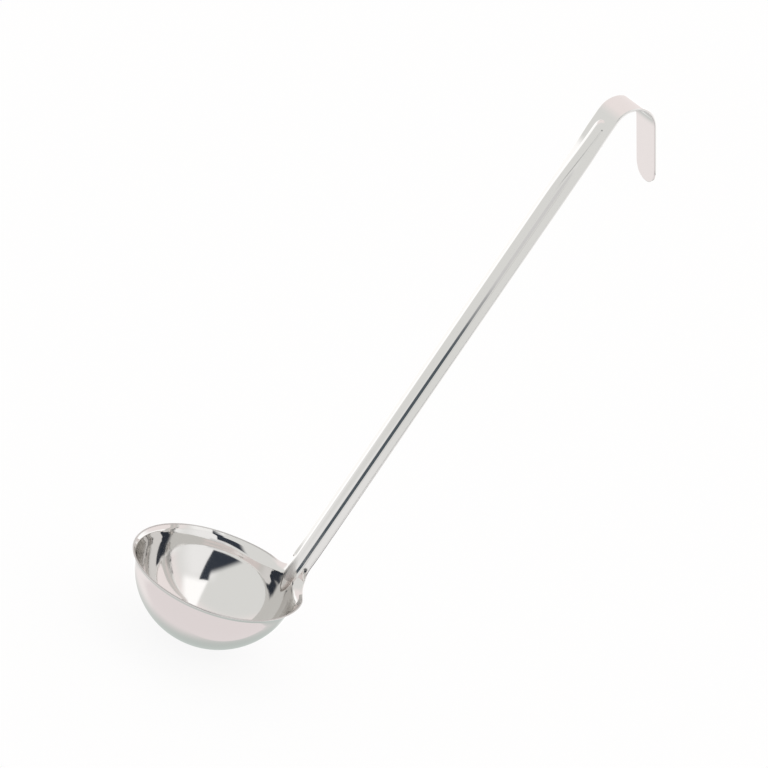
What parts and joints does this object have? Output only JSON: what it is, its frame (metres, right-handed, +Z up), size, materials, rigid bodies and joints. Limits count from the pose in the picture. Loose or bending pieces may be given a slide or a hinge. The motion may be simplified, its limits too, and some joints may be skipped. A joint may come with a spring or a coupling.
{
  "type": "ladle",
  "caption": "Pressed steel serving ladle: round bowl with a flared lip, a long ribbed strap handle that leans outwards, and a flat hook bent over at its top for hanging.",
  "frame": {"origin": "middle of the flat base of the bowl", "axes": "+Z up along the bowl's axis, +X from the bowl's axis towards the handle, Y across the handle strap"},
  "size_m": [0.215, 0.098, 0.3573],
  "materials": {
    "polished_steel": "mirror polished stainless steel with faint lengthwise polishing lines on the strap"
  },
  "bodies": {
    "root": {"bowl": "polished_steel", "neck": "polished_steel", "handle_strap": "polished_steel", "hook": "polished_steel"}
  },
  "joints": []
}
